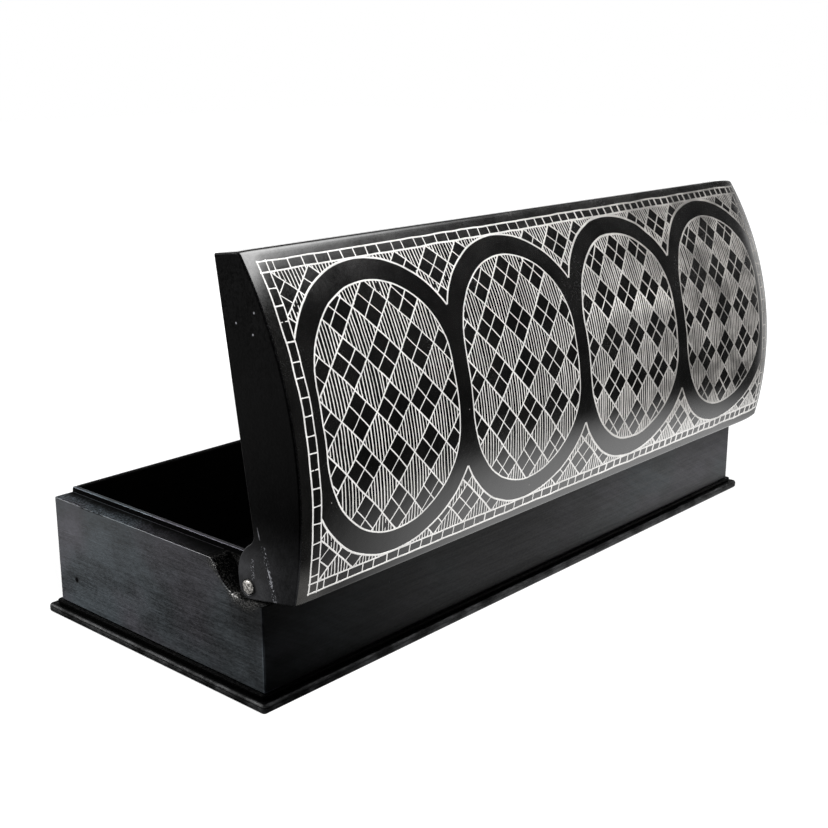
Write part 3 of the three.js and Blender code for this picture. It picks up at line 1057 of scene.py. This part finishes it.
# %% The bent sheet
def bent_sheet():
    """Draws the section out along X and rolls its ends off."""
    half_length = (LID_END_X - RIM) * MM
    sizes = {"half_length": half_length, "stations": 90, "material": dome_metal}
    recipe = Recipe("bend_sheet", **sizes, **ROLL_SIZES)
    given = recipe.inputs
    profile = recipe.node("GeometryNodeMeshToCurve", None, given["Geometry"])
    points, count = {"mode": "POINTS"}, {"mode": "COUNT"}
    line = recipe.node("GeometryNodeCurvePrimitiveLine", points, (-1, 0, 0), (1, 0, 0))
    line = recipe.node("GeometryNodeResampleCurve", count, line, None, given["stations"])
    x = (recipe.here()[0] * (math.pi / 2)).math("SINE") * given["half_length"]
    line = recipe.moved(line, recipe.point(x, 0.0, 0.0))
    line = recipe.node("GeometryNodeSetCurveNormal", {"mode": "Z_UP"}, line)
    sheet = recipe.node("GeometryNodeCurveToMesh", None, line, profile, None, True)
    x, y, z = recipe.here()
    dy, dz = y - DOME_CENTRE[0] * MM, z - DOME_CENTRE[1] * MM
    radius = (dy * dy + dz * dz).math("SQRT")
    drop = recipe.roll_off(x) * (radius / MM).fade(*BELOW_ROLL) / radius
    return recipe, recipe.moved(sheet, recipe.point(x, y - dy * drop, z - dz * drop))


# %% Notches in the sheet
CHEEK_ROOM = 6.7
SIDE_GAP = 0.3


def notched(recipe, sheet):
    """Cuts the clearance over the front wall and the notches for the lugs and ears."""
    rim = LEDGE_Z + LIP_HEIGHT + SEAT_GAP - PIN_Z
    cheek_x, end_x, notch_x = LID_END_X - CHEEK_ROOM, LID_END_X + 1, ROOM_X - SIDE_GAP
    low, reach, top = -KNUCKLE - 1, KNUCKLE + 1, rim + SIDE_GAP
    exact = {"operation": "DIFFERENCE", "solver": "EXACT"}
    for cutter in (
        recipe.block((-cheek_x, LID_FRONT - 1, 0), (cheek_x, LID_FRONT + SHEET + 1, rim)),
        recipe.block((notch_x, -1, low), (end_x, reach, top)),
        recipe.block((-end_x, -1, low), (-notch_x, reach, top)),
    ):
        sheet = recipe.node("GeometryNodeMeshBoolean", exact, sheet, cutter)["Mesh"]
    return sheet


# %% Dome
SHEET_SHARPEST = 30

recipe, sheet = bent_sheet()
opened_sheet = recipe.open_lid(notched(recipe, sheet))
sheet_mesh = recipe.make(plain_object("sheet_section", section_mesh), opened_sheet, "dome_sheet")
sheet_mesh.set_sharp_from_angle(angle=math.radians(SHEET_SHARPEST))
dome_sheet = plain_object("dome_sheet", sheet_mesh)
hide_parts("lid_shell")
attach(dome_sheet, "lid")
places = [v.co for v in sheet_mesh.vertices]
print("sheet faces:", len(sheet_mesh.polygons))
print("sheet box, mm:", in_mm((np.min(places, 0), np.max(places, 0)), 2))

# %% [markdown]
# The silver drawing is a set of hammered wires. It is laid out flat first, as on paper: x runs
# along the lid and s runs over the dome from its back edge. One rule makes all of it. Two sets
# of slanted lines cross in a lattice; every second diamond is split in four, and the others
# are hatched. Four tall ovals and the corners between them each keep a part of that lattice.
# The strokes could be drawn one by one, but a rule with a few sizes is shorter and stays even.

# %% Sizes of the silver drawing, mm
PITCH = 70.8
OVAL_CENTRES = (105.0, 34.2, -36.6, -107.4)
OVAL_S = 57.3
OVAL_RADIUS, OVAL_STRAIGHT = 31.6, 10.2
BAND_RADIUS, BAND_STRAIGHT = 39.8, 10.0
PANEL = (-142.8, 140.4, 7.4, 107.3)
LADDER, RUNG_PITCH = 3.5, 5.75
CELL_X, CELL_S, CORNER_CELL_S = 7.95, 8.5, 7.35
CORNER_ROWS = (14.85, 99.95)
HATCHES = 10
HATCH_TILT = math.tan(math.radians(2.5))
SKEW = 0.0045
LINE_W, OUTLINE_W, SPLIT_W, HATCH_W, RUNG_W = 0.62, 0.72, 0.5, 0.52, 0.62
WIDER_LINES, WIDER_HATCHES, WIDER_RUNGS, CLOSER_RUNGS = 0.45, 0.4, 0.35, 0.25
FLATTER_FROM, FLATTER_TO = 35, -75
SLIP, WIDTH_SPREAD, RUNG_SLIP = 0.1, 0.1, 0.25


def oval_distance(points, centre_x, radius, straight):
    """How far points lie outside a tall oval; negative inside it."""
    dx = points[:, 0] - centre_x
    ds = np.maximum(np.abs(points[:, 1] - OVAL_S) - straight, 0)
    return np.hypot(dx, ds) - radius


def in_oval(centre_x):
    return lambda points: oval_distance(points, centre_x, OVAL_RADIUS, OVAL_STRAIGHT) < 0


def in_panel(points):
    low_x, high_x, low_s, high_s = PANEL
    x, s = points.T
    return (x > low_x) & (x < high_x) & (s > low_s) & (s < high_s)


def outside_bands(points, centres=OVAL_CENTRES):
    """Inside the panel and outside the bands of some ovals."""
    clear = [oval_distance(points, c, BAND_RADIUS, BAND_STRAIGHT) > 0 for c in centres]
    return in_panel(points) & np.all(clear, 0)


drawing_size = (PANEL[1] - PANEL[0] + 2 * LADDER, PANEL[3] - PANEL[2] + 2 * LADDER)
print("drawing, mm:", [round(v, 1) for v in drawing_size])

# %% [markdown]
# The smith cut each groove by hand, so no stroke is quite true. A stroke that leaves its shape
# is cut off there, its ends slip by a tenth of a millimetre, and its width varies. The slips
# and the widths come from one seeded generator, so that every run gives the same drawing.

# %% Strokes that are kept inside a shape
STEP = 0.15
SHORTEST = 0.5

rng = np.random.default_rng(SEED)
strokes = []


def runs(keep):
    """The stretches of a row of truths that are true, as pairs of a start and an end."""
    padded = np.concatenate([[False], keep, [False]]).astype(int)
    return np.flatnonzero(np.diff(padded)).reshape(-1, 2)


def kept_runs(a, b, inside):
    """The parts of a straight line from a to b that lie inside a shape."""
    a, b = np.array(a, float), np.array(b, float)
    count = max(3, int(np.hypot(*(b - a)) / STEP) + 1)
    points = a + np.outer(np.linspace(0, 1, count), b - a)
    long_enough = [(i, j) for i, j in runs(inside(points)) if (j - i) * STEP > SHORTEST]
    return [(points[i], points[j - 1]) for i, j in long_enough]


def wider(x, share):
    """How much wider a wire is at an x, because the silver is hammered flatter at the far end."""
    return 1 + share * min(max((FLATTER_FROM - x) / (FLATTER_FROM - FLATTER_TO), 0), 1)


def stroke(points, width):
    spread = 1 + WIDTH_SPREAD * rng.standard_normal()
    strokes.append((np.array(points, float), width * spread / 2))


def clipped(a, b, inside, width):
    for start, end in kept_runs(a, b, inside):
        slip = SLIP * rng.standard_normal((2, 2))
        stroke([start + slip[0], end + slip[1]], width)


# %% The lattice
def hatched_diamond(at, i, j, cell_s, inside):
    """Fills one diamond with upright strokes that lean a little."""
    for k in range(1, HATCHES + 1):
        t = -1 + 2 * k / (HATCHES + 1)
        half = 1 - abs(t)
        lean = half * cell_s * HATCH_TILT
        low, high = at(i + t, j - half), at(i + t, j + half)
        ends = (low[0] - lean, low[1]), (high[0] + lean, high[1])
        clipped(*ends, inside, HATCH_W * wider(low[0], WIDER_HATCHES))


def lattice(centre, cell, reach, inside):
    """The crossing lines, split diamonds and hatched diamonds about a centre."""
    cx, cs = centre
    a, b = cell
    columns, rows = reach

    def at(u, v):
        return cx + u * a, cs + v * b

    span = columns + rows + 1
    for k in range(-span | 1, span + 1, 2):
        clipped(at(k - span, span), at(k + span, -span), inside, LINE_W)
        clipped(at(k - span, -span), at(k + span, span), inside, LINE_W)
    for i in range(-columns, columns + 1):
        for j in range(-rows, rows + 1):
            if (i + j) % 2:
                continue
            if i % 2 == 0:
                clipped(at(i - 0.5, j - 0.5), at(i + 0.5, j + 0.5), inside, SPLIT_W)
                clipped(at(i - 0.5, j + 0.5), at(i + 0.5, j - 0.5), inside, SPLIT_W)
            else:
                hatched_diamond(at, i, j, b, inside)


for centre_x in OVAL_CENTRES:
    lattice((centre_x, OVAL_S), (CELL_X, CELL_S), (4, 5), in_oval(centre_x))
for k in range(5):
    for row in CORNER_ROWS:
        middle = (PANEL[1] - PITCH * k, row)

        def one_corner(points, middle=middle):
            """The part between the ovals that belongs to one corner or cusp."""
            dx, ds = np.abs(points - middle).T
            return outside_bands(points) & (dx < PITCH / 2) & (ds < OVAL_S - CORNER_ROWS[0])

        lattice(middle, (CELL_X, CORNER_CELL_S), (4, 4), one_corner)
print("strokes in the lattices:", len(strokes))


# %% Outlines of the ovals and their bands
OUTLINE_STEPS = 48


def oval_outline(centre_x, radius, straight):
    top = arc_points((centre_x, OVAL_S + straight), radius, 0, math.pi, OUTLINE_STEPS)
    bottom = arc_points((centre_x, OVAL_S - straight), radius, math.pi, 2 * math.pi, OUTLINE_STEPS)
    return np.vstack([top, bottom, top[:1]])


def kept_path(points, inside, width):
    """Keeps the runs of a bent line that lie inside a shape."""
    parts = [np.linspace(a, b, 6, endpoint=False) for a, b in zip(points, points[1:])]
    fine = np.vstack(parts + [points[-1:]])
    for i, j in runs(inside(fine)):
        if j - i > 2:
            stroke(fine[i:j:4] if j - i > 8 else fine[[i, j - 1]], width)


for centre_x in OVAL_CENTRES:
    stroke(oval_outline(centre_x, OVAL_RADIUS, OVAL_STRAIGHT), OUTLINE_W)
    others = [c for c in OVAL_CENTRES if c != centre_x]

    def alone(points, others=others):
        return outside_bands(points, others)

    kept_path(oval_outline(centre_x, BAND_RADIUS, BAND_STRAIGHT), alone, OUTLINE_W)
print("strokes with the outlines:", len(strokes))

# %% Ladder border
OVERRUN = 0.5

low_x, high_x, low_s, high_s = PANEL
long_x = (low_x - LADDER - OVERRUN, high_x + LADDER + OVERRUN)
long_s = (low_s - LADDER - OVERRUN, high_s + LADDER + OVERRUN)
for inset in (0.0, LADDER):
    for s in (low_s - inset, high_s + inset):
        stroke([(long_x[0], s), (long_x[1], s)], OUTLINE_W)
    for x in (low_x - inset, high_x + inset):
        stroke([(x, long_s[0]), (x, long_s[1])], OUTLINE_W)
x = high_x - RUNG_PITCH / 2
while x > low_x:
    for s, out in ((low_s, -LADDER), (high_s, LADDER)):
        place = x + RUNG_SLIP * rng.standard_normal()
        end = place + SLIP * rng.standard_normal()
        stroke([(place, s), (end, s + out)], RUNG_W * wider(x, WIDER_RUNGS))
    x -= RUNG_PITCH / wider(x, CLOSER_RUNGS)
for s in np.arange(low_s + RUNG_PITCH / 2, high_s, RUNG_PITCH):
    for x, out in ((low_x, -LADDER), (high_x, LADDER)):
        place = s + RUNG_SLIP * rng.standard_normal()
        end = place + SLIP * rng.standard_normal()
        stroke([(x, place), (x + out, end)], RUNG_W)
print("strokes in all:", len(strokes))

# %% [markdown]
# The silver is nearly pure and rubbed bright at the near end. Towards the far end it is duller and
# warmer, with a painted highlight in a stripe where one oval catches the light. A half-metallic base
# shows both the bright metal and its fine scratches, which scatter light as paint would.

# %% Silver
DULL_X, DULL_Z = (60, -110), (44, 66)
HIGHLIGHT_STRIPE_Z, HIGHLIGHT_STRIPE_X = ((102, 108), (116, 110)), ((12, -8), (-75, -50))


def silver_finish():
    """Fine silver wire, rubbed bright near one end and left duller and warmer at the other."""
    metal = Finish("silver")
    fine = metal.grain(1.1).fade(0.3, 0.7)
    clouds = metal.grain(10, detail=4.0).fade(0.35, 0.65)
    satin = metal.grain(14, (1, 1, 0.7), 2.0).fade(0.38, 0.62)
    dull = metal.x.fade(*DULL_X) * metal.z.fade(*DULL_Z)
    # painted highlight: a stripe across one oval
    highlight_stripe = metal.z.fade(*HIGHLIGHT_STRIPE_Z[0]) * metal.z.fade(*HIGHLIGHT_STRIPE_Z[1])
    highlight_stripe = highlight_stripe * metal.x.fade(*HIGHLIGHT_STRIPE_X[0]) * metal.x.fade(*HIGHLIGHT_STRIPE_X[1])
    dimmed = dull * (0.75 - 0.26 * satin - 0.6 * highlight_stripe)
    tone = (0.64 + 0.14 * clouds + 0.08 * fine) * (1 - dimmed)
    bright, warm = metal.colour(tone, 1.0, 0.985, 0.96), metal.colour(tone, 1.0, 0.96, 0.91)
    return metal.close(
        base_color=metal.mix(dull, bright, warm),
        metallic=0.45,
        roughness=0.36 + 0.2 * fine,
        normal=metal.bump(fine, 0.02),
    )


silver = silver_finish()

# %% [markdown]
# Each stroke becomes a wire in one recipe. The flat line is resampled, pushed about a little
# as a hand would, swept with a six-sided round as wide as the stroke, and pressed flat. Only
# then is it bent over the dome, so that every wire lies in the sheet whatever its direction.
# The drawing runs from the back to the front, so the bend mirrors it, and its faces are
# turned over to point outwards again.


# %% Strokes as a mesh of lines
def stroke_mesh():
    """All strokes as flat lines in metres, with half of each wire's width on its points."""
    points, edges, widths = [], [], []
    for line, half_width in strokes:
        first = len(points)
        points += [(x * MM, (s - SKEW * x) * MM, 0) for x, s in line]
        edges += [(first + i, first + i + 1) for i in range(len(line) - 1)]
        widths += [half_width * wider(x, WIDER_LINES) * MM for x, s in line]
    mesh = bpy.data.meshes.new("strokes")
    mesh.from_pydata(points, edges, [])
    add_attribute(mesh, "half_width", widths)
    return mesh


# %% Wires
WIRE_SIZES = {
    "wire_sides": 6,
    "spacing": 2.4 * MM,
    "wobble": 0.9 * MM,
    "waves_per_metre": 100.0,
    "flatness": 0.10,
    "sink": -0.005 * MM,
}


def shaken(recipe, line):
    """Pushes a line about by smooth noise."""
    given = recipe.inputs
    here = recipe.node("GeometryNodeInputPosition")["Position"]
    waves = recipe.vector("SCALE", here, scale=given["waves_per_metre"])
    shake = recipe.node("ShaderNodeTexNoise", None, vector=waves, scale=1.0, detail=1.0)["Color"]
    shake = recipe.vector("SUBTRACT", shake, (0.5, 0.5, 0.5))
    across = recipe.point(given["wobble"], given["wobble"], 0.0)
    shake = recipe.vector("MULTIPLY", shake, across)
    return recipe.node("GeometryNodeSetPosition", None, line, None, None, shake)


def swept(recipe, line):
    """Sweeps a round along each line, as wide as its stroke, and turns its faces over."""
    circle = recipe.node(
        "GeometryNodeCurvePrimitiveCircle", {"mode": "RADIUS"}, recipe.inputs["wire_sides"], radius=1.0
    )
    line = recipe.node("GeometryNodeSetCurveNormal", {"mode": "Z_UP"}, line)
    width = recipe.node("GeometryNodeInputNamedAttribute", {"data_type": "FLOAT"}, "half_width")
    width = width["Attribute"]
    wires = recipe.node("GeometryNodeCurveToMesh", None, line, circle["Curve"], width, True)
    wires = recipe.node("GeometryNodeSetShadeSmooth", None, wires, None, True)
    return recipe.node("GeometryNodeFlipFaces", None, wires)


def inlaid_wires():
    """Wires that lie in the shut dome."""
    recipe = Recipe("inlay_wires", **WIRE_SIZES, **ROLL_SIZES, material=silver)
    given, length = recipe.inputs, {"mode": "LENGTH"}
    line = recipe.node("GeometryNodeMeshToCurve", None, given["Geometry"])
    line = recipe.node("GeometryNodeResampleCurve", length, line, None, given["spacing"])
    wires = swept(recipe, shaken(recipe, line))
    x, s, height = recipe.here()
    radius = (DOME_RADIUS - SUNK) * MM + height * given["flatness"] + given["sink"]
    radius = radius - recipe.roll_off(x)
    angle = BACK_ANGLE + s / (DOME_RADIUS * MM)
    y = DOME_CENTRE[0] * MM + radius * angle.math("COSINE")
    z = DOME_CENTRE[1] * MM + radius * angle.math("SINE")
    return recipe, recipe.moved(wires, recipe.point(x, y, z))


recipe, wires = inlaid_wires()
opened_wires = recipe.open_lid(wires)
wire_mesh = recipe.make(plain_object("strokes", stroke_mesh()), opened_wires, "silver_drawing")
silver_drawing = plain_object("silver_drawing", wire_mesh)
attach(silver_drawing, "lid")
print("wire faces:", len(wire_mesh.polygons))


# %% [markdown]
# A short pin holds the lid at each end. Its end was hammered over, so the rings that a lathe would
# leave are pushed in and out by noise. A few rings of points are quickest made one by one.

# %% Pin steel
PIN_TONE, PIN_GLINT = 0.12, 0.6


def pin_finish():
    """Bare steel with the marks of the hammer, and painted glints in its colour."""
    metal = Finish("pin_steel")
    fine = metal.grain(0.8)
    return metal.close(
        # PIN_GLINT paints glints into the colour: painted highlights.
        base_color=metal.colour(PIN_TONE + PIN_GLINT * fine.fade(0.4, 0.65), 1, 0.96, 0.9),
        metallic=0.6,
        roughness=0.4,
        normal=metal.bump(fine, 0.05),
    )


pin_steel = pin_finish()

# %% Peened pins
PIN_RADIUS, PIN_PROUD, PIN_CROWN = 2.4, 0.5, 0.4
PIN_CHAMFER, PIN_NECK, PIN_DENTED = 0.05, 0.6, 0.7
CROWN_SHARES = (0.15, 0.4, 0.65, 0.85)
PIN_SIDES = 40
DENT_DEPTH, DENT_PINCH, DENT_SCALE = 0.12, 0.04, 0.9


def pin_rings():
    """A place along X and a radius for each ring of points."""
    end = LID_END_X + PIN_PROUD
    rings = [(ROOM_X, PIN_RADIUS), (LID_END_X - PIN_NECK, PIN_RADIUS)]
    rings.append((end - PIN_CROWN, PIN_RADIUS - PIN_CHAMFER))
    for share in CROWN_SHARES:
        rings.append((end - PIN_CROWN * (1 - share) ** 2, PIN_RADIUS * math.sqrt(1 - share)))
    return rings


def hammered(x, radius, angle, side):
    """One point of a ring, pushed in where it is outside the cheek."""
    place = Vector((x, radius * math.cos(angle), radius * math.sin(angle)))
    if x > LID_END_X - PIN_DENTED:
        dent = noise.noise(place * DENT_SCALE + Vector((side * 7.0, 0, 0)))
        place.x -= DENT_DEPTH * abs(dent)
        place.yz *= 1 + DENT_PINCH * min(dent, 0)
    place.x *= side
    return place * MM + Vector((0, PIN_AXIS.y, PIN_AXIS.z))


def peened_pin(side):
    """A pin turned about the hinge axis, with a hammered end."""
    work = bmesh.new()
    angles = [2 * math.pi * k / PIN_SIDES for k in range(PIN_SIDES)]
    loops = [[work.verts.new(hammered(*ring, a, side)) for a in angles] for ring in pin_rings()]
    for lower, upper in zip(loops, loops[1:]):
        for k in range(PIN_SIDES):
            n = (k + 1) % PIN_SIDES
            work.faces.new((lower[k], lower[n], upper[n], upper[k]))
    work.faces.new(loops[0][::-1])
    work.faces.new(loops[-1])
    bmesh.ops.recalc_face_normals(work, faces=work.faces)
    for face in work.faces:
        face.smooth = True
    mesh = bpy.data.meshes.new("pin")
    work.to_mesh(mesh)
    work.free()
    return mesh


for name, node, side in (("near_pin", "right_hinge_pin", 1), ("far_pin", "left_hinge_pin", -1)):
    pin = plain_object(name, peened_pin(side), pin_steel)
    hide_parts(node)
    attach(pin, "tray")
    print(name, "faces:", len(pin.data.polygons))
